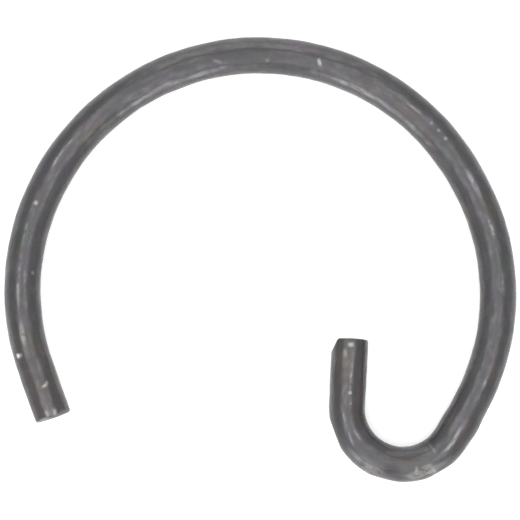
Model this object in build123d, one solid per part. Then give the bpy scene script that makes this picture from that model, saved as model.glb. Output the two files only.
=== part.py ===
from build123d import *

import os
from math import cos, radians, tan

# Piston pin circlip: one length of spring wire coiled into an open ring, with a tang hooked inwards.
#
# Frame, in millimetres. The origin is the ring's centre at mid wire, on the axis of the pin bore that
# the clip seats in. +Z runs along that axis, +Y points to the ring's crown, away from its gap, and +X
# to the hooked side. Seen from +Z the wire runs clockwise: free leg, ring, lead-in, hook, tang. The
# ring is wound in four arcs: both of its sides are curled a little tighter than its crown, and a short
# eased stretch parts the crown from the hook side.

# Wire
WIRE_DIAMETER = 1.0  # round, cold-drawn spring steel

# Ring
RING_OUTER_DIAMETER = 14.086  # free size over the crown, before the groove squeezes it
CROWN_START_ANGLE = 168.66  # degrees from +X to where the free side meets the crown
CROWN_SWEEP_ANGLE = 138.43  # degrees that each of the four arcs covers
FREE_SIDE_SWEEP_ANGLE = 31.06
EASED_SWEEP_ANGLE = 3.94
HOOK_SIDE_SWEEP_ANGLE = 56.22
SIDE_RADIUS = 6.358  # of both sides' centreline
EASED_RADIUS = 8.94  # of the eased stretch's centreline
FREE_LEG_LENGTH = 1.477  # straight stretch between the cut end and the ring

# Hook and tang
LEAD_IN_LENGTH = 0.847  # straight stretch between the ring and the hook
HOOK_INNER_RADIUS = 1.058  # of the mandrel that the hook is bent round
HOOK_TURN_ANGLE = 152.94  # degrees
TANG_LENGTH = 1.861  # straight, from the hook to the tip

# Flats that the bending tools press into the hook
JAW_FLAT_DEPTH = 0.045  # on its outer side, where each of the two jaws bears
LEADING_JAW_ANGLE = 47.0  # degrees round the hook from its middle, back towards the ring
TRAILING_JAW_ANGLE = 53.0  # and on towards the tang
MANDREL_FLAT_DEPTH = 0.02  # on its inner side, at mid hook
MANDREL_RUN_OUT_ANGLE = 8.0  # degrees of hook left round beyond each end of the mandrel's flat

# Sheared ends
SHEAR_LEAN_ANGLE = 5.0  # degrees from square: the free end's face looks up, the tang's down
RIM_RADIUS = 0.07  # where the blade rolls the edge over
TIP_BEVEL_WIDTH = 0.16  # facet pinched into the tip on the hook's outer side
TIP_BEVEL_LENGTH = 0.4

WIRE_RADIUS = WIRE_DIAMETER / 2
TOOL_SIZE = 2 * WIRE_DIAMETER  # of each cutting block: enough to pass right through the wire
CROWN_RADIUS = RING_OUTER_DIAMETER / 2 - WIRE_RADIUS  # of the centreline
HOOK_RADIUS = HOOK_INNER_RADIUS + WIRE_RADIUS  # of the centreline


def straight_on(run, length):
    """A line that carries on from the end of another run."""
    return Line(run @ 1, run @ 1 + length * (run % 1))


def clockwise_on(run, radius, sweep):
    """A clockwise arc that carries on from the end of another run."""
    return JernArc(run @ 1, run % 1, radius, -sweep)


def centreline():
    """The wire's runs, in order from the free end, each tangent to the last."""
    out_to_crown = Vector(1, 0).rotate(Axis.Z, CROWN_START_ANGLE)
    out_to_leg = Vector(1, 0).rotate(Axis.Z, CROWN_START_ANGLE + FREE_SIDE_SWEEP_ANGLE)
    into_ring = out_to_leg.rotate(Axis.Z, -90)
    ring_start = (CROWN_RADIUS - SIDE_RADIUS) * out_to_crown + SIDE_RADIUS * out_to_leg
    free_leg = Line(ring_start - FREE_LEG_LENGTH * into_ring, ring_start)
    free_side = clockwise_on(free_leg, SIDE_RADIUS, FREE_SIDE_SWEEP_ANGLE)
    crown = clockwise_on(free_side, CROWN_RADIUS, CROWN_SWEEP_ANGLE)
    eased = clockwise_on(crown, EASED_RADIUS, EASED_SWEEP_ANGLE)
    hook_side = clockwise_on(eased, SIDE_RADIUS, HOOK_SIDE_SWEEP_ANGLE)
    lead_in = straight_on(hook_side, LEAD_IN_LENGTH)
    hook = clockwise_on(lead_in, HOOK_RADIUS, HOOK_TURN_ANGLE)
    tang = straight_on(hook, TANG_LENGTH)
    return free_leg, free_side, crown, eased, hook_side, lead_in, hook, tang


def drawn_wire(runs):
    """Round wire along the runs, with both ends square."""
    start = Plane(origin=runs[0] @ 0, z_dir=runs[0] % 0)
    return sweep(start * Circle(WIRE_RADIUS), path=Wire(runs))


def to_mid_hook(hook):
    """The direction from the hook's centre to its middle."""
    return (hook @ 0.5 - hook.arc_center).normalized()


def mandrel(hook):
    """The round pin inside the hook.

    It bites MANDREL_FLAT_DEPTH into the wire at mid hook, and leaves it MANDREL_RUN_OUT_ANGLE short of
    the hook's ends. Its centre is shifted towards mid hook for that.
    """
    half_flat = radians(HOOK_TURN_ANGLE / 2 - MANDREL_RUN_OUT_ANGLE)
    shift = MANDREL_FLAT_DEPTH / (1 - cos(half_flat))
    radius = HOOK_INNER_RADIUS + MANDREL_FLAT_DEPTH - shift
    return Pos(hook.arc_center + shift * to_mid_hook(hook)) * Cylinder(radius, TOOL_SIZE)


def jaw(hook, angle):
    """The flat-faced block that bears on the hook's outer side, angle degrees on from mid hook."""
    outward = to_mid_hook(hook).rotate(Axis.Z, -angle)
    reach = HOOK_RADIUS + WIRE_RADIUS - JAW_FLAT_DEPTH + TOOL_SIZE / 2
    return Plane(hook.arc_center + reach * outward, x_dir=outward, z_dir=(0, 0, 1)) * cutting_block()


def cutting_block():
    """A cube that passes right through the wire."""
    return Box(TOOL_SIZE, TOOL_SIZE, TOOL_SIZE)


def end_frame(tip, outward):
    """A frame at a wire end: X up, Y to the right of the way out, Z on out along the wire."""
    return Plane(tip, x_dir=(0, 0, 1), z_dir=outward)


def sheared(wire, end, lean):
    """The wire with one end cut by a leaning blade, which rolls over the rim of the cut."""
    set_back = WIRE_RADIUS * tan(radians(abs(lean)))
    blade = Pos(Z=-set_back) * Rot(Y=lean) * Pos(Z=TOOL_SIZE / 2) * cutting_block()
    cut = wire - end * blade
    face = cut.faces().filter_by(GeomType.PLANE).sort_by_distance(end.origin)[0]
    return fillet(face.edges(), RIM_RADIUS)


def pinched(wire, end):
    """The wire with a facet across the left side of its tip.

    The facet runs from the wire's flank, TIP_BEVEL_LENGTH back from the tip, to TIP_BEVEL_WIDTH in from
    it at the tip.
    """
    slope = TIP_BEVEL_WIDTH / TIP_BEVEL_LENGTH
    outline = Polyline(
        (-WIRE_RADIUS, -TIP_BEVEL_LENGTH),
        (-WIRE_RADIUS + slope * (TIP_BEVEL_LENGTH + RIM_RADIUS), RIM_RADIUS),
        (-TOOL_SIZE, RIM_RADIUS),
        (-TOOL_SIZE, -TIP_BEVEL_LENGTH),
        close=True,
    )
    return wire - end * extrude(Plane.YZ * make_face(outline), TOOL_SIZE, both=True)


def clip_wire():
    """The whole clip, one piece of wire."""
    runs = centreline()
    free_leg, *_, hook, tang = runs
    free_end = end_frame(free_leg @ 0, -(free_leg % 0))
    tip = end_frame(tang @ 1, tang % 1)
    wire = drawn_wire(runs) - mandrel(hook) - jaw(hook, -LEADING_JAW_ANGLE) - jaw(hook, TRAILING_JAW_ANGLE)
    wire = sheared(wire, free_end, SHEAR_LEAN_ANGLE)
    wire = sheared(wire, tip, -SHEAR_LEAN_ANGLE)
    return pinched(wire, tip)


os.makedirs("parts", exist_ok=True)
export_step(clip_wire(), "parts/clip_wire.step")
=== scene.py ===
"""Piston pin circlip: one length of spring wire coiled into an open ring, with a tang hooked inwards.

Everything is in metres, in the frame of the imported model. The origin is the ring's centre at mid wire, +Z
runs along the pin bore, +Y points to the ring's crown, and seen from +Z the wire runs clockwise from its free
leg.
"""

import logging
from dataclasses import dataclass
from enum import Enum
from math import cos, pi, radians, sin, tan
from typing import Sequence

import bpy
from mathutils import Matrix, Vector

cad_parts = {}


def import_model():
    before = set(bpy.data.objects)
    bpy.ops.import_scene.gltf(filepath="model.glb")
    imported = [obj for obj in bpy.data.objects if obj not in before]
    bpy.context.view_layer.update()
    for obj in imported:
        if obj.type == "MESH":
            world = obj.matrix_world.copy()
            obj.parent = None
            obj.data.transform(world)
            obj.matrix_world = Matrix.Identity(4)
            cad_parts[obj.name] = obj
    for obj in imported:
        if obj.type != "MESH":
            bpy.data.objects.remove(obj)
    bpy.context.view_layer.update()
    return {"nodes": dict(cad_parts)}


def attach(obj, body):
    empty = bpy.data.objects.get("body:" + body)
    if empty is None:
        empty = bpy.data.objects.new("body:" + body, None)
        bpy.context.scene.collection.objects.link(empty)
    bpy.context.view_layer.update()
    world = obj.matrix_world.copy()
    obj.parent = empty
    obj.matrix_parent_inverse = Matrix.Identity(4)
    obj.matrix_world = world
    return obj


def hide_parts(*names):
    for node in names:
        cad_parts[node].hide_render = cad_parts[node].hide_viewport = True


LOG = logging.getLogger("circlip")
MM = 0.001
WIRE_RADIUS = 0.5  # millimetres
PLACE = "wire_place"  # attribute: millimetres along, outwards across and up through the straightened wire
CUT = "cut_share"  # attribute: 1 on the sheared faces, 0 on the drawn skin
MERGE_DISTANCE = 2e-7  # metres: joins the mesh's seam and the middles of the cuts
JAW_REACH = pi / 3  # radians of hook, to either side of a jaw, in which its flat can lie
EDGE_ON = 0.001  # the least that a point of the section counts as facing a flat


# --- Node trees ---


class TreeKind(Enum):
    """The two kinds of node tree that the clip needs."""

    SHAPE = "GeometryNodeTree"
    FINISH = "ShaderNodeTree"


@dataclass(frozen=True)
class Signal:
    """A node's output that takes part in arithmetic."""

    board: "Board"
    socket: bpy.types.NodeSocket

    def __add__(self, other: "Term") -> "Signal":
        """The sum of two terms."""
        return self.board.math("ADD", self, other)

    def __sub__(self, other: "Term") -> "Signal":
        """The difference of two terms."""
        return self.board.math("SUBTRACT", self, other)

    def __rsub__(self, other: "Term") -> "Signal":
        """A number less this signal."""
        return self.board.math("SUBTRACT", other, self)

    def __mul__(self, other: "Term") -> "Signal":
        """The product of two terms."""
        return self.board.math("MULTIPLY", self, other)

    def __truediv__(self, other: "Term") -> "Signal":
        """The quotient of two terms."""
        return self.board.math("DIVIDE", self, other)


Term = Signal | float


@dataclass(frozen=True)
class Board:
    """Lays out one node tree, node by node."""

    tree: bpy.types.NodeTree

    @classmethod
    def group(cls, name: str, kind: TreeKind) -> "Board":
        """A board on a new, empty node group."""
        return cls(bpy.data.node_groups.new(name, kind.value))

    def takes(self, name: str, kind: str = "NodeSocketFloat") -> None:
        """Gives the group a named input."""
        self.tree.interface.new_socket(name, in_out="INPUT", socket_type=kind)

    def gives(self, name: str, kind: str = "NodeSocketFloat") -> None:
        """Gives the group a named output."""
        self.tree.interface.new_socket(name, in_out="OUTPUT", socket_type=kind)

    def node(self, kind: str, *terms: object, **settings: object) -> bpy.types.Node:
        """Adds a node.

        Args:
            kind: the node's type.
            terms: values or signals for its enabled inputs, in order; None leaves one alone.
            settings: the node's own properties.

        Returns:
            The node.
        """
        made = self.tree.nodes.new(kind)
        for name, value in settings.items():
            setattr(made, name, value)
        sockets = [socket for socket in made.inputs if socket.enabled]
        for socket, term in zip(sockets, terms):
            self.feed(socket, term)
        return made

    def feed(self, socket: bpy.types.NodeSocket, term: object) -> None:
        """Links a signal to a socket, or sets the socket to a plain value.

        Args:
            socket: the input to feed.
            term: the signal or the value; None leaves the socket alone.
        """
        if isinstance(term, Signal):
            self.tree.links.new(term.socket, socket)
        elif term is not None:
            socket.default_value = term

    def out(self, node: bpy.types.Node, name: str | int = 0) -> Signal:
        """One of a node's outputs as a signal.

        Args:
            node: the node.
            name: the output's name, or its number among the enabled ones.

        Returns:
            The signal.
        """
        enabled = [socket for socket in node.outputs if socket.enabled]
        if isinstance(name, int):
            return Signal(self, enabled[name])
        return Signal(self, next(socket for socket in enabled if socket.name == name))

    def math(self, operation: str, *terms: Term) -> Signal:
        """A Math node's result."""
        return self.out(self.node("ShaderNodeMath", *terms, operation=operation))

    def least(self, first: Term, second: Term) -> Signal:
        """The smaller of two terms."""
        return self.math("MINIMUM", first, second)

    def most(self, first: Term, second: Term) -> Signal:
        """The larger of two terms."""
        return self.math("MAXIMUM", first, second)

    def within(self, term: Term, low: Term, high: Term) -> Signal:
        """A term held between two limits."""
        return self.most(low, self.least(term, high))

    def vector(self, x: Term, y: Term, z: Term = 0.0) -> Signal:
        """Three terms as a vector."""
        return self.out(self.node("ShaderNodeCombineXYZ", x, y, z))

    def parts(self, vector: Signal) -> tuple[Signal, Signal, Signal]:
        """A vector's three parts."""
        split = self.node("ShaderNodeSeparateXYZ", vector)
        return self.out(split, 0), self.out(split, 1), self.out(split, 2)

    def vectors(self, operation: str, *terms: object) -> Signal:
        """A Vector Math node's result."""
        return self.out(self.node("ShaderNodeVectorMath", *terms, operation=operation))

    def fill(self, node: bpy.types.Node, **terms: object) -> bpy.types.Node:
        """Feeds a node's inputs by name.

        Args:
            node: the node.
            terms: its inputs, by name with underscores for spaces.

        Returns:
            The node.
        """
        for name, term in terms.items():
            self.feed(node.inputs[name.replace("_", " ")], term)
        return node

    def ramp(self, term: Term, low: Term, high: Term, at_low: float = 0.0, at_high: float = 1.0) -> Signal:
        """A term eased from one range to another, and held at its ends.

        Args:
            term: the term.
            low: where the first range starts.
            high: where it ends.
            at_low: the result up to the start.
            at_high: the result from the end on.

        Returns:
            The eased term.
        """
        made = self.node("ShaderNodeMapRange", interpolation_type="SMOOTHSTEP")
        limits = {"Value": term, "From_Min": low, "From_Max": high, "To_Min": at_low, "To_Max": at_high}
        return self.out(self.fill(made, **limits), "Result")

    def scaled(self, vector: Signal, factor: Term) -> Signal:
        """A vector times a number."""
        made = self.node("ShaderNodeVectorMath", vector, operation="SCALE")
        return self.out(self.fill(made, Scale=factor))

    def noise(self, place: Signal, detail: Term, roughness: Term) -> Signal:
        """Noise of scale one.

        Args:
            place: where to look it up.
            detail: how many finer layers it has.
            roughness: how strong each finer layer is.

        Returns:
            The noise, from nought to one.
        """
        made = self.node("ShaderNodeTexNoise", noise_dimensions="3D", normalize=True)
        return self.out(self.fill(made, Vector=place, Scale=1.0, Detail=detail, Roughness=roughness))

    def use(self, group: bpy.types.NodeTree, **terms: object) -> bpy.types.Node:
        """Places a node group.

        Args:
            group: the group.
            terms: its inputs, by name with underscores for spaces.

        Returns:
            The group's node.
        """
        kind = "GeometryNodeGroup" if self.tree.bl_idname == TreeKind.SHAPE.value else "ShaderNodeGroup"
        return self.fill(self.node(kind, node_tree=group), **terms)

    def entry(self) -> dict[str, Signal]:
        """The group's inputs as signals, by name."""
        made = self.tree.nodes.new("NodeGroupInput")
        return {socket.name: Signal(self, socket) for socket in made.outputs if socket.name}

    def result(self, **terms: object) -> None:
        """Joins signals to the group's outputs, by name with underscores for spaces."""
        self.fill(self.tree.nodes.new("NodeGroupOutput"), **terms)


# --- Marks on the wire ---


class MarkKind(Enum):
    """How a mark was made: how much it shows, its dent in millimetres and its soft share of edge.

    A painted-shade mark darkens towards dark oxide's colour as painted shade, a press only dents, a glint is
    a painted highlight in bare steel's colour, a rub shows bare steel partly where the oxide wore thin and
    partly as a painted highlight, and a nick, scratch, polish or scuff shows bare steel. A scuff leaves it
    dull and dry as well.
    """

    NICK = (1.0, 0.012, 0.9)
    GLINT = (0.7, 0.0, 1.0)
    SCRATCH = (0.34, 0.003, 1.0)
    RUB_AND_SHEEN = (0.30, 0.0, 0.9)
    POLISH = (0.12, 0.0, 0.5)
    SCUFF = (1.0, 0.0, 0.6)
    PAINTED_SHADE = (0.9, 0.0, 0.8)
    PRESS = (0.0, 0.036, 1.0)

    @property
    def brightness(self) -> float:
        """How much the mark shows."""
        return self.value[0]

    @property
    def dent(self) -> float:
        """How deep the mark goes, in millimetres."""
        return self.value[1]

    @property
    def softness(self) -> float:
        """The share of the mark's half width that is soft edge."""
        return self.value[2]


@dataclass(frozen=True)
class Mark:
    """One mark: millimetres along the wire, degrees outwards from straight up, half length and half width.

    A strength below nought raises the steel instead of denting it. The slant turns the mark's length
    outwards, in degrees.
    """

    kind: MarkKind
    along: float
    lean: float
    half_length: float
    half_width: float
    strength: float
    slant: float = 0.0


def marked(kind: MarkKind, *rows: tuple[float, ...]) -> tuple[Mark, ...]:
    """Marks of one kind, each from a row of a Mark's other fields."""
    return tuple(Mark(kind, *row) for row in rows)


# Knocks from handling and the bending tools' bites on the hook; the last, at the tang's tip, is a painted
# highlight
NICKS = marked(
    MarkKind.NICK,
    (0.958, -12.0, 0.062, 0.13, 0.34, 14.0),
    (1.015, -22.0, 0.065, 0.065, 0.26, 40.0),
    (1.945, 41.5, 0.095, 0.105, 1.0),
    (1.95, 32.5, 0.075, 0.1, 0.45),
    (4.19, -36.3, 0.087, 0.078, 0.18),
    (6.125, 7.2, 0.09, 0.085, 0.32),
    (12.735, -11.5, 0.21, 0.07, 0.12, -25.0),
    (14.135, -19.9, 0.08, 0.065, 0.12, 20.0),
    (15.585, -1.1, 0.072, 0.145, 0.42, 24.0),
    (29.36, 42.8, 0.05, 0.17, 0.16, 12.0),
    (29.76, 19.9, 0.05, 0.16, 0.18, -14.0),
    (30.94, 46.0, 0.08, 0.08, 0.1),
    # Painted highlight at the tang's tip, dented like a nick
    (34.27, -1.1, 0.095, 0.125, 0.36),
)
# Across the hook's inner side
SCRATCHES = marked(MarkKind.SCRATCH, (29.1, -28.7, 0.07, 0.29, 0.33))
# Where the hook begins and between its flats; a strength below nought is a swelling
PRESSES = marked(
    MarkKind.PRESS,
    (27.745, -90.0, 0.45, 0.65, 0.4),
    (27.995, 90.0, 0.55, 0.75, -1.0),
    (30.465, 90.0, 0.35, 0.6, 0.5),
)
# Painted highlights: bright spots along the lamps' highlight bands, by the nicks and at both ends
GLINTS = marked(
    MarkKind.GLINT,
    (0.1, -42.0, 0.1, 0.24, 0.24),
    (0.17, -15.0, 0.17, 0.095, 0.42, -8.0),
    (0.2, -1.0, 0.1, 0.11, 0.08),
    (0.21, 11.0, 0.15, 0.085, 0.3, 14.0),
    (1.93, 33.0, 0.11, 0.055, 0.3),
    (7.36, 11.5, 0.18, 0.05, 0.16),
    (8.0, 11.5, 0.2, 0.05, 0.16),
    (19.1, 11.5, 0.08, 0.065, 0.26),
    (19.38, 11.5, 0.07, 0.065, 0.26),
    (19.67, 11.5, 0.085, 0.075, 0.36),
    (31.72, 14.5, 0.26, 0.04, 0.22, -12.0),
    (32.66, -10.0, 0.06, 0.05, 0.18),
    (32.95, -6.5, 0.078, 0.075, 0.5),
)
# Partly where the groove and the tools wore the oxide thin, and partly painted highlights: bright streaks
# laid along the lamps' highlight bands
RUBS_AND_SHEEN = marked(
    MarkKind.RUB_AND_SHEEN,
    (2.48, 8.0, 0.48, 0.105, 0.75),
    (3.85, 10.4, 0.95, 0.06, 0.66),
    (3.9, -8.0, 0.5, 0.05, 0.45),
    (5.25, 12.7, 0.45, 0.05, 0.5),
    (7.6, 11.5, 0.7, 0.05, 0.55),
    (11.2, -41.0, 1.4, 0.14, 0.14),
    (17.0, -41.0, 1.2, 0.14, 0.33),
    (18.45, 9.0, 0.4, 0.055, 0.6),
    (21.13, 8.0, 0.56, 0.09, 0.9),
    (22.43, 4.6, 0.38, 0.07, 0.9),
    (23.95, 12.5, 0.5, 0.055, 0.5),
    (26.65, 11.5, 0.35, 0.065, 0.55),
    (28.55, 7.6, 0.68, 0.085, 1.0),
    (31.75, -11.0, 0.35, 0.06, 0.55),
    (32.25, 9.5, 0.38, 0.05, 0.75),
    (33.3, -6.5, 0.42, 0.05, 0.75),
    (34.02, 17.0, 0.22, 0.11, 0.55),
)
# On the tang and the free end
POLISHES = marked(
    MarkKind.POLISH,
    (0.28, 2.0, 0.3, 0.17, 0.15),
    (33.55, -1.0, 0.85, 0.14, 0.45),
)
# Where the jaws held the hook
SCUFFS = marked(
    MarkKind.SCUFF,
    (29.56, 25.0, 0.33, 0.15, 1.1),
    (29.6, 44.0, 0.45, 0.29, 0.95),
    (30.87, 51.0, 0.48, 0.25, 0.72),
    (31.15, 24.0, 0.28, 0.13, 0.3, -10.0),
)
# Painted shade: darker patches on the free side's inner rim, the crown's middle and the hook, where the wire
# reflects less lamp light
PAINTED_SHADES = marked(
    MarkKind.PAINTED_SHADE,
    (2.9, -60.0, 1.5, 0.15, 0.6),
    (13.0, 4.0, 3.9, 0.2, 0.6),
    (28.75, -14.0, 0.7, 0.13, 0.65),
    (30.2, -25.0, 1.1, 0.22, 0.48),
    (30.38, 17.0, 0.34, 0.2, 1.25, 20.0),
)
ALL_MARKS = NICKS + SCRATCHES + PRESSES + GLINTS + RUBS_AND_SHEEN + POLISHES + SCUFFS + PAINTED_SHADES
SQUARENESS = 2.8  # of a mark's outline: 2 is an ellipse, and more is squarer


def mark_group(kind: TreeKind) -> bpy.types.NodeTree:
    """The mask of one mark, in straightened-wire millimetres, for either kind of tree.

    Args:
        kind: the kind of tree that places it.

    Returns:
        The node group.
    """
    board = Board.group(f"mark_{kind.name.lower()}", kind)
    board.takes("Place", "NodeSocketVector")
    for name in ("Along", "Lean", "Half Length", "Half Width", "Slant", "Softness", "Strength"):
        board.takes(name)
    board.gives("Mask")
    given = board.entry()
    along, out, up = board.parts(given["Place"])
    across = (board.math("ARCTAN2", out, up) - given["Lean"]) * WIRE_RADIUS
    along = along - given["Along"]
    turn_cos = board.math("COSINE", given["Slant"])
    turn_sin = board.math("SINE", given["Slant"])
    long_way = (along * turn_cos + across * turn_sin) / given["Half Length"]
    wide_way = (across * turn_cos - along * turn_sin) / given["Half Width"]
    long_way, wide_way = (board.math("POWER", way * way, SQUARENESS / 2) for way in (long_way, wide_way))
    reach = board.math("POWER", long_way + wide_way, 1.0 / SQUARENESS)
    mask = board.ramp(reach, 1.0 - given["Softness"], 1.0, 1.0, 0.0)
    board.result(Mask=mask * given["Strength"])
    return board.tree


def marks_together(board: Board, place: Signal, marks: Sequence[Mark], worth: str, join: str) -> Signal:
    """Several marks' masks in one, each weighed by what its kind is worth.

    Args:
        board: the tree to add them to.
        place: the straightened-wire place.
        marks: the marks.
        worth: the MarkKind property that weighs them: "brightness" or "dent".
        join: the Math operation that joins them.

    Returns:
        The joined mask.
    """
    kind = TreeKind(board.tree.bl_idname)
    name = f"mark_{kind.name.lower()}"
    group = bpy.data.node_groups.get(name) or mark_group(kind)
    total: Term = 0.0
    for mark in marks:
        weight = mark.strength * getattr(mark.kind, worth)
        if weight:
            one = board.use(group, Place=place, Along=mark.along, Lean=radians(mark.lean),
                            Half_Length=mark.half_length, Half_Width=mark.half_width,
                            Slant=radians(mark.slant), Softness=mark.kind.softness, Strength=weight)
            total = board.math(join, total, board.out(one))
    return total


# --- The wire's shape ---


def straight_run() -> bpy.types.NodeTree:
    """How far a point has come along one straight run.

    Returns:
        The node group.
    """
    board = Board.group("straight_run", TreeKind.SHAPE)
    for name in ("Along", "Length", "Heading"):
        board.takes(name)
    board.gives("Travel", "NodeSocketVector")
    given = board.entry()
    gone = board.within(given["Along"], 0.0, given["Length"])
    heading = given["Heading"]
    over, up = gone * board.math("COSINE", heading), gone * board.math("SINE", heading)
    board.result(Travel=board.vector(over, up))
    return board.tree


def bent_run() -> bpy.types.NodeTree:
    """How far a point has come along one clockwise arc, and how far the wire has turned there.

    Returns:
        The node group.
    """
    board = Board.group("bent_run", TreeKind.SHAPE)
    for name in ("Along", "Radius", "Turn", "Heading"):
        board.takes(name)
    board.gives("Travel", "NodeSocketVector")
    board.gives("Turned")
    given = board.entry()
    radius, heading = given["Radius"], given["Heading"]
    turned = board.within(given["Along"] / radius, 0.0, given["Turn"])
    now = heading - turned
    over = (board.math("SINE", heading) - board.math("SINE", now)) * radius
    up = (board.math("COSINE", now) - board.math("COSINE", heading)) * radius
    board.result(Travel=board.vector(over, up), Turned=turned)
    return board.tree


@dataclass(frozen=True)
class WireSizes:
    """The wire's round section, its unevenness and the fineness of its mesh, in millimetres."""

    radius: float = WIRE_RADIUS
    unevenness: float = 0.026  # most that the surface can rise or sink
    patch: float = 0.60  # size of one uneven patch across the wire
    patch_pace: float = 0.55  # how fast patches follow each other along the wire, against across it
    patch_detail: float = 2.0
    patch_roughness: float = 0.6
    rings: int = 1000
    around: int = 90


@dataclass(frozen=True)
class RingSizes:
    """The open ring, wound in four arcs, and its free leg, in millimetres and degrees."""

    free_leg: float = 1.477
    side_radius: float = 6.358
    free_side_turn: float = 31.06
    crown_radius: float = 6.543
    crown_start: float = 168.66
    crown_turn: float = 138.43
    eased_radius: float = 8.94
    eased_turn: float = 3.94
    hook_side_turn: float = 56.22


@dataclass(frozen=True)
class HookSizes:
    """The hook with its bending-tool flats, and the tang, in millimetres and degrees."""

    lead_in: float = 0.847
    radius: float = 1.558
    turn: float = 152.94
    tang: float = 1.861
    jaw_flat: float = 0.045
    leading_jaw: float = 47.0
    trailing_jaw: float = 53.0
    mandrel_flat: float = 0.02
    mandrel_run_out: float = 8.0
    soft_edge: float = 0.02  # most that a flat's edge is rounded


@dataclass(frozen=True)
class EndSizes:
    """The sheared ends, in millimetres and degrees."""

    lean: float = 5.0
    rim: float = 0.07
    bevel_width: float = 0.16
    bevel_length: float = 0.4
    cut_edge: tuple[float, float] = (0.93, 0.985)  # shares of the radius over which the cut's finish ends


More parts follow.
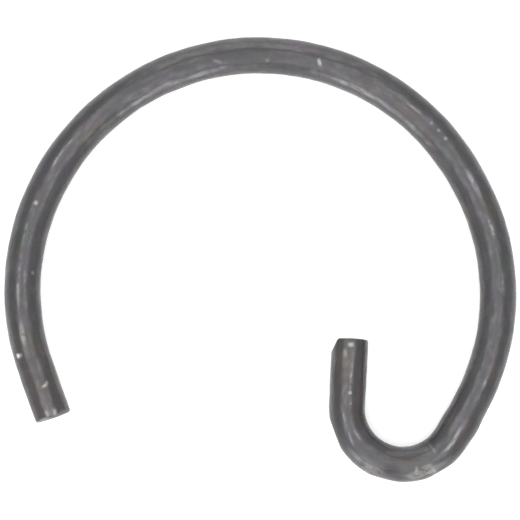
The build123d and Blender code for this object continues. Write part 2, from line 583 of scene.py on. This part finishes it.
@dataclass
class BentWire:
    """The clip's one length of wire: a leg, a ring, a lead-in, a hook and a tang, bent by a rule."""

    wire: WireSizes = WireSizes()
    ring: RingSizes = RingSizes()
    hook: HookSizes = HookSizes()
    ends: EndSizes = EndSizes()
    marks: tuple[Mark, ...] = ALL_MARKS

    def heading(self) -> float:
        """The free leg's heading into the ring, in radians from +X."""
        return radians(self.ring.crown_start + self.ring.free_side_turn - 90.0)

    def start(self) -> Vector:
        """Where the wire starts.

        Returns:
            The free end's centre, in metres.
        """
        ring, heading = self.ring, self.heading()
        out_to_crown = Vector((cos(radians(ring.crown_start)), sin(radians(ring.crown_start)), 0.0))
        out_to_leg = Vector((-sin(heading), cos(heading), 0.0))
        into_ring = Vector((cos(heading), sin(heading), 0.0))
        ring_start = out_to_crown * (ring.crown_radius - ring.side_radius) + out_to_leg * ring.side_radius
        return (ring_start - into_ring * ring.free_leg) * MM

    def runs(self) -> tuple[tuple[str, str, str], ...]:
        """The wire's straight and bent runs, in order from the free end.

        Returns:
            Each run's name, the input that holds its radius, if it has one, and the one that holds its turn
            or its length.
        """
        return (
            ("free leg", "", "Free Leg"),
            ("free side", "Side Radius", "Free Side Turn"),
            ("crown", "Crown Radius", "Crown Turn"),
            ("eased stretch", "Eased Radius", "Eased Turn"),
            ("hook side", "Side Radius", "Hook Side Turn"),
            ("lead-in", "", "Lead-in"),
            ("hook", "Hook Radius", "Hook Turn"),
            ("tang", "", "Tang"),
        )

    def sizes(self) -> dict[str, object]:
        """The tree's named inputs.

        Returns:
            Their values by name, in metres and radians.
        """
        wire, ring, hook, ends = self.wire, self.ring, self.hook, self.ends
        lengths = {
            "Wire Radius": wire.radius, "Unevenness": wire.unevenness, "Patch Size": wire.patch,
            "Free Leg": ring.free_leg, "Side Radius": ring.side_radius, "Crown Radius": ring.crown_radius,
            "Eased Radius": ring.eased_radius, "Lead-in": hook.lead_in, "Hook Radius": hook.radius,
            "Tang": hook.tang, "Jaw Flat": hook.jaw_flat, "Mandrel Flat": hook.mandrel_flat,
            "Rim Radius": ends.rim, "Bevel Width": ends.bevel_width, "Bevel Length": ends.bevel_length,
        }
        angles = {
            "Free Side Turn": ring.free_side_turn, "Crown Turn": ring.crown_turn,
            "Eased Turn": ring.eased_turn, "Hook Side Turn": ring.hook_side_turn, "Hook Turn": hook.turn,
            "Leading Jaw": hook.leading_jaw, "Trailing Jaw": hook.trailing_jaw,
            "Mandrel Run-out": hook.mandrel_run_out,
        }
        return {
            "Rings": wire.rings, "Points Around": wire.around,
            "Start": self.start(), "Start Heading": self.heading(),
            **{name: length * MM for name, length in lengths.items()},
            **{name: radians(angle) for name, angle in angles.items()},
            "End Slope": tan(radians(ends.lean)),
        }

    def tree(self, skin: bpy.types.Material, cut: bpy.types.Material) -> bpy.types.NodeTree:
        """The Geometry Nodes tree that draws, bends, shears and marks the wire.

        Args:
            skin: the drawn surface's material.
            cut: the sheared faces' material.

        Returns:
            The tree.
        """
        board = Board.group("bent_wire", TreeKind.SHAPE)
        board.gives("Geometry", "NodeSocketGeometry")
        kinds = {int: "NodeSocketInt", float: "NodeSocketFloat", Vector: "NodeSocketVector"}
        for name, value in self.sizes().items():
            board.takes(name, kinds[type(value)])
        size = board.entry()
        ends: dict[str, Signal] = {}
        length: Term = 0.0
        for name, radius, reach in self.runs():
            length = (size[radius] * size[reach] if radius else size[reach]) + length
            ends[name] = length

        along, share = self.skin_place(board, size, length)
        centre, heading = self.bend(board, size, along, ends)
        line = board.node("GeometryNodeMeshLine", mode="OFFSET")
        line = board.out(board.fill(line, Count=size["Rings"]))
        bent = board.node("GeometryNodeSetPosition", line, None, centre)
        path, kept = self.captured(board, board.out(bent), along, share, heading, centre)
        along, share, heading, centre = kept
        curve = board.out(board.node("GeometryNodeMeshToCurve", path))
        circle = board.node("GeometryNodeCurvePrimitiveCircle", size["Points Around"], mode="RADIUS")
        spot = board.out(board.node("GeometryNodeInputPosition"))
        profile, (spot,) = self.captured(board, board.out(board.fill(circle, Radius=1.0)), spot)
        skin_mesh = board.out(board.node("GeometryNodeCurveToMesh", curve, profile))

        across, up = self.section(board, size, spot, share, along, ends)
        along, centre = self.sheared(board, size, along, up, length, centre, heading)
        side = board.vector(board.math("SINE", heading) * -1.0, board.math("COSINE", heading))
        flat_place = board.vectors("ADD", centre, board.scaled(side, across))
        place = board.vectors("ADD", flat_place, board.vector(0.0, 0.0, up))
        straightened = board.scaled(board.vector(along, across, up), 1.0 / MM)
        cut_share = board.ramp(share, *self.ends.cut_edge, 1.0, 0.0)
        shaped = skin_mesh
        for name, kind, term in ((PLACE, "FLOAT_VECTOR", straightened), (CUT, "FLOAT", cut_share)):
            store = board.node("GeometryNodeStoreNamedAttribute", shaped, None, name, data_type=kind,
                               domain="POINT")
            shaped = board.out(board.fill(store, Value=term))
        shaped = board.out(board.node("GeometryNodeSetPosition", shaped, None, place))
        shaped = board.out(board.node("GeometryNodeMergeByDistance", shaped, None, MERGE_DISTANCE))
        shaped = board.out(board.node("GeometryNodeSetShadeSmooth", shaped))
        board.result(Geometry=self.dressed(board, shaped, skin, cut))
        return board.tree

    @staticmethod
    def dressed(board: Board, mesh: Signal, skin: bpy.types.Material, cut: bpy.types.Material) -> Signal:
        """Makes the mesh real and gives its two surfaces their materials.

        Args:
            board: the tree's board.
            mesh: the shaped wire.
            skin: the drawn surface's material.
            cut: the sheared faces' material.

        Returns:
            The dressed mesh.
        """
        real = board.out(board.node("GeometryNodeRealizeInstances", mesh))
        skinned = board.out(board.node("GeometryNodeSetMaterial", real, None, skin))
        cut_share = board.out(board.node("GeometryNodeInputNamedAttribute", CUT, data_type="FLOAT"))
        is_cut = board.out(board.node("FunctionNodeCompare", cut_share, 0.5, operation="GREATER_THAN"))
        return board.out(board.node("GeometryNodeSetMaterial", skinned, is_cut, cut))

    @staticmethod
    def captured(board: Board, geometry: Signal, *fields: Signal) -> tuple[Signal, tuple[Signal, ...]]:
        """Keeps fields' values on a geometry's points.

        Args:
            board: the tree's board.
            geometry: the geometry.
            fields: the fields.

        Returns:
            The geometry, and the kept fields in the same order.
        """
        kinds = {"VALUE": "FLOAT", "VECTOR": "VECTOR"}
        keep = board.tree.nodes.new("GeometryNodeCaptureAttribute")
        names = [f"field_{number}" for number, _ in enumerate(fields)]
        for name, term in zip(names, fields):
            keep.capture_items.new(kinds[term.socket.type], name)
        board.fill(keep, Geometry=geometry)
        for name, term in zip(names, fields):
            board.feed(keep.inputs[name], term)
        kept = tuple(Signal(board, keep.outputs[name]) for name in names)
        return Signal(board, keep.outputs["Geometry"]), kept

    @staticmethod
    def skin_place(board: Board, size: dict[str, Signal], length: Signal) -> tuple[Signal, Signal]:
        """Where each ring of the mesh lies: from the middle of one cut face, over its rim and along the wire.

        Args:
            board: the tree's board.
            size: the tree's sizes by name.
            length: the wire's length.

        Returns:
            The place along the wire, and the share of the full radius there.
        """
        flat = size["Wire Radius"] - size["Rim Radius"]
        cap = flat + size["Rim Radius"] * (pi / 2)
        total = length - size["Rim Radius"] * 2.0 + cap * 2.0
        index = board.out(board.node("GeometryNodeInputIndex"))
        gone = index * total / (size["Rings"] - 1.0)
        near = board.least(gone, total - gone)
        roll = board.within((near - flat) / size["Rim Radius"], 0.0, pi / 2)
        radial = board.least(near, flat) + board.math("SINE", roll) * size["Rim Radius"]
        depth = (1.0 - board.math("COSINE", roll)) * size["Rim Radius"] + board.most(near - cap, 0.0)
        second = board.math("GREATER_THAN", gone, total / 2.0)
        along = depth + (length - depth * 2.0) * second
        return along, radial / size["Wire Radius"]

    def bend(self, board: Board, size: dict[str, Signal], along: Signal,
             ends: dict[str, Signal]) -> tuple[Signal, Signal]:
        """Bends the wire's centreline through its runs.

        Args:
            board: the tree's board.
            size: the tree's sizes by name.
            along: the place along the wire.
            ends: where each run ends along the wire.

        Returns:
            The centreline's place, and the wire's heading there.
        """
        straight, bent = straight_run(), bent_run()
        centre, first, heading = size["Start"], size["Start Heading"], size["Start Heading"]
        gone = along
        for name, radius, reach in self.runs():
            if radius:
                run = board.use(bent, Along=gone, Radius=size[radius], Turn=size[reach], Heading=first)
                first, heading = first - size[reach], heading - board.out(run, "Turned")
            else:
                run = board.use(straight, Along=gone, Length=size[reach], Heading=first)
            centre = board.vectors("ADD", centre, board.out(run, "Travel"))
            gone = along - ends[name]
        return centre, heading

    def section(self, board: Board, size: dict[str, Signal], spot: Signal, share: Signal, along: Signal,
                ends: dict[str, Signal]) -> tuple[Signal, Signal]:
        """Shapes the round section: tool flats on the hook, a pinched facet at the tang's tip, and nicks.

        Args:
            board: the tree's board.
            size: the tree's sizes by name.
            spot: the point's place on a circle of radius one.
            share: the share of the full radius.
            along: the place along the wire.
            ends: where each run ends along the wire.

        Returns:
            How far the point lies outwards across the wire, and how far up.
        """
        out, up, _ = board.parts(spot)
        radius = size["Wire Radius"]
        for bite, facing in zip(self.bites(board, size, along, ends), (out, out * -1.0)):
            chord = (size["Wire Radius"] - bite) / board.most(facing, EDGE_ON)
            radius = board.math("SMOOTH_MIN", radius, chord, board.least(bite, self.hook.soft_edge * MM))
        place = board.vector(along / MM, out, up)
        dent = marks_together(board, place, self.marks, "dent", "ADD")
        spread = size["Wire Radius"] / size["Patch Size"]
        pace = along * self.wire.patch_pace / size["Patch Size"]
        patches = board.noise(board.vector(pace, out * spread, up * spread), self.wire.patch_detail,
                              self.wire.patch_roughness)
        lift = (patches - 0.5) * size["Unevenness"] * 2.0
        radius = (radius + lift - dent * MM) * share
        return out * radius, up * radius

    @staticmethod
    def bites(board: Board, size: dict[str, Signal], along: Signal,
              ends: dict[str, Signal]) -> tuple[Signal, Signal]:
        """How deep the bending tools and the pinch go into the wire.

        Args:
            board: the tree's board.
            size: the tree's sizes by name.
            along: the place along the wire.
            ends: where each run ends along the wire.

        Returns:
            The depth on the hook's outer side, and the depth on its inner side.
        """
        hook_length = ends["hook"] - ends["lead-in"]
        swing = (along - ends["lead-in"] - hook_length / 2.0) / size["Hook Radius"]
        off_middle = board.least(board.math("ABSOLUTE", swing), pi / 2)
        half = size["Hook Turn"] / 2.0 - size["Mandrel Run-out"]
        pressed = (1.0 - board.math("COSINE", off_middle)) / (1.0 - board.math("COSINE", half))
        mandrel = board.most(1.0 - pressed, 0.0) * size["Mandrel Flat"]
        reach = size["Hook Radius"] + size["Wire Radius"]
        jaws = []
        for jaw in (size["Leading Jaw"] * -1.0, size["Trailing Jaw"]):
            aside = board.within(swing - jaw, -JAW_REACH, JAW_REACH)
            face = (reach - size["Jaw Flat"]) / board.math("COSINE", aside)
            jaws.append(board.most(reach - face, 0.0))
        from_tip = (ends["tang"] - along) / size["Bevel Length"]
        bevel = board.most(1.0 - from_tip, 0.0) * size["Bevel Width"]
        return jaws[0] + jaws[1] + bevel, mandrel

    @staticmethod
    def sheared(board: Board, size: dict[str, Signal], along: Signal, up: Signal, length: Signal,
                centre: Signal, heading: Signal) -> tuple[Signal, Signal]:
        """Leans the two cut faces, the free end's looking up and the tang's looking down.

        Args:
            board: the tree's board.
            size: the tree's sizes by name.
            along: the place along the wire.
            up: how far up the section the point lies.
            length: the wire's length.
            centre: the centreline's place.
            heading: the wire's heading there.

        Returns:
            The new place along the wire, and the new place on the centreline.
        """
        reach = size["Wire Radius"]
        near_free = board.within(1.0 - along / reach, 0.0, 1.0)
        near_tip = board.within(1.0 - (length - along) / reach, 0.0, 1.0)
        free_back = (up + reach) * size["End Slope"] * near_free
        tip_back = (reach - up) * size["End Slope"] * near_tip
        moved = free_back - tip_back
        ahead = board.vector(board.math("COSINE", heading) * moved, board.math("SINE", heading) * moved)
        return along + moved, board.vectors("ADD", centre, ahead)

    def build(self, skin: bpy.types.Material, cut: bpy.types.Material) -> bpy.types.Object:
        """Makes the wire as a plain mesh.

        Args:
            skin: the drawn surface's material.
            cut: the sheared faces' material.

        Returns:
            The piece.
        """
        tree = self.tree(skin, cut)
        maker = bpy.data.objects.new("wire_maker", bpy.data.meshes.new("wire_maker"))
        bpy.context.scene.collection.objects.link(maker)
        modifier = maker.modifiers.new("bent_wire", "NODES")
        modifier.node_group = tree
        sockets = {item.name: item.identifier for item in tree.interface.items_tree if item.in_out == "INPUT"}
        for name, value in self.sizes().items():
            modifier[sockets[name]] = value
        graph = bpy.context.evaluated_depsgraph_get()
        mesh = bpy.data.meshes.new_from_object(maker.evaluated_get(graph), depsgraph=graph)
        bpy.data.objects.remove(maker)
        mesh.name = "circlip_wire"
        piece = bpy.data.objects.new("circlip_wire", mesh)
        bpy.context.scene.collection.objects.link(piece)
        return piece


# --- Finishes ---


def stretched_noise() -> bpy.types.NodeTree:
    """Noise drawn out along the wire, which both steel finishes use.

    Returns:
        The node group.
    """
    board = Board.group("stretched_noise", TreeKind.FINISH)
    board.takes("Place", "NodeSocketVector")
    for name in ("Along Scale", "Across Scale", "Detail", "Roughness", "Shift"):
        board.takes(name)
    board.gives("Value")
    given = board.entry()
    along, out, up = board.parts(given["Place"])
    wide = given["Across Scale"]
    drawn_out = along * given["Along Scale"] + given["Shift"]
    noise = board.noise(board.vector(drawn_out, out * wide, up * wide), given["Detail"],
                        given["Roughness"])
    board.result(Value=noise)
    return board.tree


@dataclass(frozen=True)
class Grain:
    """One layer of stretched noise: its scales per millimetre, its fineness and its shift along the wire."""

    along: float
    across: float
    detail: float
    roughness: float
    shift: float

    def over(self, board: Board, noise: bpy.types.NodeTree, place: Signal) -> Signal:
        """Lays the grain over the wire.

        Args:
            board: the material's board.
            noise: the stretched noise group.
            place: the straightened-wire place.

        Returns:
            The grain, from nought to one.
        """
        return board.out(board.use(noise, Place=place, Along_Scale=self.along, Across_Scale=self.across,
                                   Detail=self.detail, Roughness=self.roughness, Shift=self.shift))


Colour = tuple[float, float, float]
Ease = tuple[float, float, float, float]  # where a term starts and ends, and the results there

# Dark oxide's colour, which the shade marks also use as painted shade
DARK_OXIDE_AND_SHADE: Colour = (0.052, 0.051, 0.055)
PALE_OXIDE: Colour = (0.150, 0.144, 0.146)
LINES = Grain(0.8, 11.0, 3.0, 0.55, 5.0)
PITS = Grain(3.0, 5.0, 2.0, 0.55, 29.0)
PATCHES = Grain(1.3, 3.0, 2.0, 0.55, 71.0)


@dataclass(frozen=True)
class Wash:
    """A tint over the steel, as strong as its grain says."""

    colour: Colour
    grain: Grain
    strength: Ease


@dataclass(frozen=True)
class Sway:
    """How far, in millimetres, and how finely the outlines of soft marks wander."""

    reach: float = 0.16
    scale: float = 5.0
    detail: float = 5.0
    roughness: float = 2.0
    lacunarity: float = 0.6

    def of(self, board: Board, place: Signal) -> Signal:
        """Sways a place.

        Args:
            board: the material's board.
            place: the place.

        Returns:
            The swayed place.
        """
        ripple = board.fill(board.node("ShaderNodeTexNoise"), Vector=place, Scale=self.scale,
                            Detail=self.detail, Roughness=self.roughness, Lacunarity=self.lacunarity)
        aside = board.vectors("SUBTRACT", board.out(ripple, "Color"), (0.5, 0.5, 0.5))
        return board.vectors("ADD", place, board.scaled(aside, self.reach))


@dataclass(frozen=True)
class DrawnSteel:
    """Oil-tempered spring wire: dark, drawn in fine lines, patchy in tint, bare where it was rubbed, and
    marked with painted highlights and painted shade.
    """

    name: str = "spring_steel_skin"
    colour: Colour = (0.0876, 0.0880, 0.0945)
    # Bare steel's colour, which the glints and rubs also use as painted highlight
    bare_and_highlight: Colour = (0.80, 0.79, 0.78)
    browning: Colour = (1.045, 1.0, 0.965)
    free_end_browned: tuple[float, float] = (1.8, 3.2)  # millimetres along over which it ends
    tang_browned: tuple[float, float] = (31.6, 32.6)  # millimetres along over which it begins
    metallic: float = 0.6
    roughness: Ease = (0.35, 0.65, 0.38, 0.22)  # by the pits
    worn_gloss: float = 0.12
    scuffed_dullness: float = 0.22
    oil: float = 0.4
    oil_lost: float = 0.8  # share that a scuff takes off
    oil_roughness: float = 0.28
    line_height: float = 0.6
    pit_height: float = 0.4
    relief: tuple[float, float] = (0.5, 0.009)  # strength, and depth in millimetres
    washes: tuple[Wash, ...] = (
        Wash((0.102, 0.081, 0.106), Grain(1.2, 2.4, 4.0, 0.6, 3.0), (0.46, 0.62, 0.0, 0.55)),
        Wash((0.113, 0.091, 0.071), Grain(1.4, 2.8, 4.0, 0.6, 17.0), (0.50, 0.64, 0.0, 0.55)),
        Wash((0.080, 0.093, 0.080), Grain(1.3, 2.6, 4.0, 0.6, 41.0), (0.50, 0.64, 0.0, 0.55)),
        Wash(DARK_OXIDE_AND_SHADE, PATCHES, (0.34, 0.60, 0.24, 0.0)),
        Wash(PALE_OXIDE, PATCHES, (0.52, 0.72, 0.0, 0.24)),
        Wash(DARK_OXIDE_AND_SHADE, LINES, (0.34, 0.60, 0.16, 0.0)),
        Wash(DARK_OXIDE_AND_SHADE, PITS, (0.34, 0.56, 0.32, 0.0)),
        Wash(PALE_OXIDE, PITS, (0.54, 0.70, 0.0, 0.25)),
    )
    sway: Sway = Sway()
    # Painted shade: how strongly the shade marks show, by the pits
    shade_by_pits: Ease = (0.40, 0.60, 1.0, 0.7)  # by the pits
    polish: Ease = (0.40, 0.60, 0.35, 1.0)  # by the pits
    # Gaps in the rubs, which are partly worn oxide and partly painted highlight streaks
    rub_and_sheen_gaps: Grain = Grain(4.0, 9.0, 3.0, 0.65, 53.0)
    rub_and_sheen_breaks: Ease = (0.38, 0.60, 0.1, 1.0)  # by the gaps
    scrapes: Grain = Grain(4.0, 7.0, 3.0, 0.6, 88.0)
    scuffs: Ease = (0.42, 0.58, 0.03, 0.17)  # by the scrapes
    marks: tuple[Mark, ...] = ALL_MARKS

    def shown(self, board: Board, place: Signal, *kinds: MarkKind) -> Signal:
        """How much the marks of some kinds show."""
        marks = [mark for mark in self.marks if mark.kind in kinds]
        return marks_together(board, place, marks, "brightness", "MAXIMUM")

    def material(self, noise: bpy.types.NodeTree) -> bpy.types.Material:
        """Makes the material.

        Args:
            noise: the stretched noise group.

        Returns:
            The material.
        """
        made, board, shader = shaded(self.name)
        place = wire_place(board)
        kinds = dict.fromkeys(wash.grain for wash in self.washes)
        grains = {grain: grain.over(board, noise, place) for grain in kinds}
        pits = grains[PITS]
        colour: object = (*self.colour, 1.0)
        for wash in self.washes:
            colour = mixed(board, board.ramp(grains[wash.grain], *wash.strength), colour, wash.colour)

        swayed = self.sway.of(board, place)
        # Painted shade: the shade marks darken the colour towards dark oxide
        painted_shade_share = self.shown(board, swayed, MarkKind.PAINTED_SHADE) * board.ramp(pits, *self.shade_by_pits)
        colour = mixed(board, painted_shade_share, colour, DARK_OXIDE_AND_SHADE)
        # Rubs: partly bare steel where the oxide wore thin, partly painted highlight streaks
        rub_and_sheen_breakup = board.ramp(self.rub_and_sheen_gaps.over(board, noise, place), *self.rub_and_sheen_breaks)
        wear_and_sheen = self.shown(board, swayed, MarkKind.RUB_AND_SHEEN) * rub_and_sheen_breakup
        polished = self.shown(board, swayed, MarkKind.POLISH) * board.ramp(pits, *self.polish)
        scuffed = self.shown(board, swayed, MarkKind.SCUFF)
        scraped = board.ramp(self.scrapes.over(board, noise, place), *self.scuffs)
        wear_and_sheen = board.most(board.most(wear_and_sheen, polished), scuffed * scraped)
        colour = mixed(board, wear_and_sheen, colour, self.bare_and_highlight)
        along, _, _ = board.parts(place)
        free_end = 1.0 - board.ramp(along, *self.free_end_browned)
        browned = board.most(scuffed, board.most(free_end, board.ramp(along, *self.tang_browned)))
        colour = mixed(board, browned, colour, self.browning, "MULTIPLY")
        # Nicks and scratches show bare steel; the glints are painted highlights in that same colour
        bare_and_glint_share = self.shown(board, place, MarkKind.NICK, MarkKind.GLINT, MarkKind.SCRATCH)
        colour = mixed(board, bare_and_glint_share, colour, self.bare_and_highlight)
        wear_and_sheen = board.most(wear_and_sheen, bare_and_glint_share)

        rough = board.ramp(pits, *self.roughness) - wear_and_sheen * self.worn_gloss + scuffed * self.scuffed_dullness
        board.fill(shader, Base_Color=colour, Roughness=rough, Metallic=self.metallic,
                   Coat_Weight=(1.0 - scuffed * self.oil_lost) * self.oil, Coat_Roughness=self.oil_roughness)
        relieved(board, shader, grains[LINES] * self.line_height + pits * self.pit_height, *self.relief)
        return made


@dataclass(frozen=True)
class ShearedSteel:
    """The blade's cut: wiped smooth where the blade went in, and torn, grainy and dark beyond."""

    name: str = "spring_steel_cut"
    wiped: Colour = (0.25, 0.243, 0.234)
    torn: Colour = (0.120, 0.116, 0.110)
    pitted: Colour = (0.075, 0.072, 0.069)
    grain: Grain = Grain(14.0, 14.0, 3.0, 0.6, 7.0)
    pits_end: tuple[float, float] = (0.36, 0.60)  # by the grain
    wipe_starts: tuple[float, float] = (0.17, 0.37)  # millimetres outwards from the middle
    wipe_raggedness: float = 0.35
    wipe_cover: float = 0.85
    metallic: float = 0.6
    roughness: Ease = (0.3, 0.7, 0.56, 0.42)  # by the grain
    wiped_gloss: float = 0.10
    wiped_flatness: float = 0.8
    relief: tuple[float, float] = (0.4, 0.010)  # strength, and depth in millimetres

    def material(self, noise: bpy.types.NodeTree) -> bpy.types.Material:
        """Makes the material.

        Args:
            noise: the stretched noise group.

        Returns:
            The material.
        """
        made, board, shader = shaded(self.name)
        place = wire_place(board)
        grain = self.grain.over(board, noise, place)
        _, out, _ = board.parts(place)
        wiped = board.ramp(out + grain * self.wipe_raggedness, *self.wipe_starts)
        colour = mixed(board, board.ramp(grain, *self.pits_end), (*self.pitted, 1.0), self.torn)
        colour = mixed(board, wiped * self.wipe_cover, colour, self.wiped)
        rough = board.ramp(grain, *self.roughness) - wiped * self.wiped_gloss
        board.fill(shader, Base_Color=colour, Roughness=rough, Metallic=self.metallic)
        relieved(board, shader, grain * (1.0 - wiped * self.wiped_flatness), *self.relief)
        return made


def wire_place(board: Board) -> Signal:
    """The straightened-wire place."""
    return board.out(board.node("ShaderNodeAttribute", attribute_name=PLACE), "Vector")


def shaded(name: str) -> tuple[bpy.types.Material, Board, bpy.types.Node]:
    """Starts a material.

    Args:
        name: its name.

    Returns:
        The material, its board and its Principled BSDF.
    """
    made = bpy.data.materials.new(name)
    made.use_nodes = True
    return made, Board(made.node_tree), made.node_tree.nodes["Principled BSDF"]


def mixed(board: Board, share: Term, first: object, tint: Colour, blend: str = "MIX") -> Signal:
    """Mixes a tint into a colour.

    Args:
        board: the tree's board.
        share: how much of the tint.
        first: a colour or signal.
        tint: the tint.
        blend: how the tint acts on the colour.

    Returns:
        The mixed colour.
    """
    second = (*tint, 1.0)
    return board.out(board.node("ShaderNodeMix", share, first, second, data_type="RGBA", blend_type=blend))


def relieved(board: Board, shader: bpy.types.Node, height: Signal, strength: float, depth: float) -> None:
    """Gives a finish its fine relief.

    Args:
        board: the material's board.
        shader: its Principled BSDF.
        height: the relief, from nought to one.
        strength: how much of it shows.
        depth: how deep it is, in millimetres.
    """
    bump = board.fill(board.node("ShaderNodeBump"), Strength=strength, Distance=depth * MM, Height=height)
    board.feed(shader.inputs["Normal"], board.out(bump))


# --- Studio ---

LAMP_POWER = 4.0  # watts per square metre of lamp, for a radiance of one
WHITE = (1.0, 1.0, 1.0, 1.0)


@dataclass(frozen=True)
class Softbox:
    """One soft lamp, set round the clip: degrees round from +X and above the floor, and sizes in metres.

    It turns towards the clip, and is then moved forward, towards the crown.
    """

    name: str
    azimuth: float
    elevation: float
    distance: float
    size: tuple[float, float]
    radiance: float
    forward: float = 0.0

    def hang(self) -> bpy.types.Object:
        """Makes the lamp.

        Returns:
            The lamp.
        """
        lamp = bpy.data.lights.new(self.name, "AREA")
        lamp.shape = "RECTANGLE"
        lamp.size, lamp.size_y = self.size
        lamp.energy = self.radiance * LAMP_POWER * self.size[0] * self.size[1]
        made = bpy.data.objects.new(self.name, lamp)
        turn, rise = radians(self.azimuth), radians(self.elevation)
        place = Vector((cos(turn) * cos(rise), sin(turn) * cos(rise), sin(rise))) * self.distance
        made.location = place + Vector((0.0, self.forward, 0.0))
        made.rotation_euler = place.to_track_quat("Z", "Y").to_euler()
        made.visible_camera = False
        bpy.context.scene.collection.objects.link(made)
        return made


@dataclass
class Studio:
    """A pale floor, a pale surround, soft lamps and the camera straight above."""

    floor_z: float = -0.0005
    floor_side: float = 0.16
    floor_colour: Colour = (0.88, 0.88, 0.88)
    floor_roughness: float = 0.45
    floor_glow: float = 0.05
    floor_lift: float = 0.37  # more glow that only the camera sees
    surround: float = 0.60
    lens: float = 200.0
    clip_range: tuple[float, float] = (0.001, 10.0)
    camera_place: tuple[float, float, float] = (0.0000233, 0.0008887, 0.079826)
    lamps: tuple[Softbox, ...] = (
        Softbox("overhead_left_softbox", 180.0, 70.0, 0.125, (0.22, 0.078), 0.975, -0.031),
        Softbox("overhead_right_softbox", 0.0, 73.0, 0.125, (0.22, 0.064), 0.985, -0.031),
        Softbox("low_left_softbox", -121.0, 11.5, 0.10, (0.056, 0.066), 2.2),
        Softbox("low_right_softbox", -67.0, 11.5, 0.10, (0.056, 0.066), 2.3),
        Softbox("low_far_softbox", 90.0, 23.0, 0.11, (0.11, 0.080), 0.85),
    )

    def lay_floor(self) -> bpy.types.Object:
        """Lays the floor that the clip rests on.

        Returns:
            The floor.
        """
        half = self.floor_side / 2
        outline = ((-half, -half), (half, -half), (half, half), (-half, half))
        corners = [(x, y, self.floor_z) for x, y in outline]
        mesh = bpy.data.meshes.new("floor")
        mesh.from_pydata(corners, [], [(0, 1, 2, 3)])
        floor = bpy.data.objects.new("floor", mesh)
        bpy.context.scene.collection.objects.link(floor)
        material, board, shader = shaded("pale_floor")
        seen = board.out(board.node("ShaderNodeLightPath"), "Is Camera Ray")
        board.fill(shader, Base_Color=(*self.floor_colour, 1.0), Roughness=self.floor_roughness,
                   Emission_Color=WHITE, Emission_Strength=seen * self.floor_lift + self.floor_glow)
        mesh.materials.append(material)
        return floor

    def hang_lamps(self) -> list[bpy.types.Object]:
        """Hangs the lamps."""
        return [lamp.hang() for lamp in self.lamps]

    def set_surround(self) -> bpy.types.World:
        """Sets the surround, which a camera sees as white.

        Returns:
            The surround.
        """
        world = bpy.data.worlds.new("surround")
        bpy.context.scene.world = world
        world.use_nodes = True
        board = Board(world.node_tree)
        seen = board.out(board.node("ShaderNodeLightPath"), "Is Camera Ray")
        board.fill(world.node_tree.nodes["Background"], Color=WHITE,
                   Strength=seen * (1.0 - self.surround) + self.surround)
        bpy.context.scene.view_settings.view_transform = "Standard"
        return world

    def set_camera(self) -> bpy.types.Object:
        """Sets the camera straight above the clip.

        Returns:
            The camera.
        """
        lens = bpy.data.cameras.new("camera")
        lens.lens = self.lens
        lens.clip_start, lens.clip_end = self.clip_range
        lens.dof.use_dof = False
        camera = bpy.data.objects.new("camera", lens)
        camera.location = self.camera_place
        bpy.context.scene.collection.objects.link(camera)
        bpy.context.scene.camera = camera
        return camera


def main() -> None:
    """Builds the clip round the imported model, dresses it and sets the studio."""
    logging.basicConfig(level=logging.INFO, format="%(name)s: %(message)s")
    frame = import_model()
    LOG.info("packed nodes: %s", sorted(frame["nodes"]))
    studio = Studio()
    studio.set_camera()
    studio.lay_floor()
    lamps = studio.hang_lamps()
    studio.set_surround()
    LOG.info("studio set with %d lamps", len(lamps))
    noise = stretched_noise()
    wire = BentWire().build(DrawnSteel().material(noise), ShearedSteel().material(noise))
    finishes = [material.name for material in wire.data.materials]
    LOG.info("%s: %d faces, materials %s", wire.name, len(wire.data.polygons), finishes)
    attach(wire, "root")
    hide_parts("clip_wire")


if __name__ == "__main__":
    main()
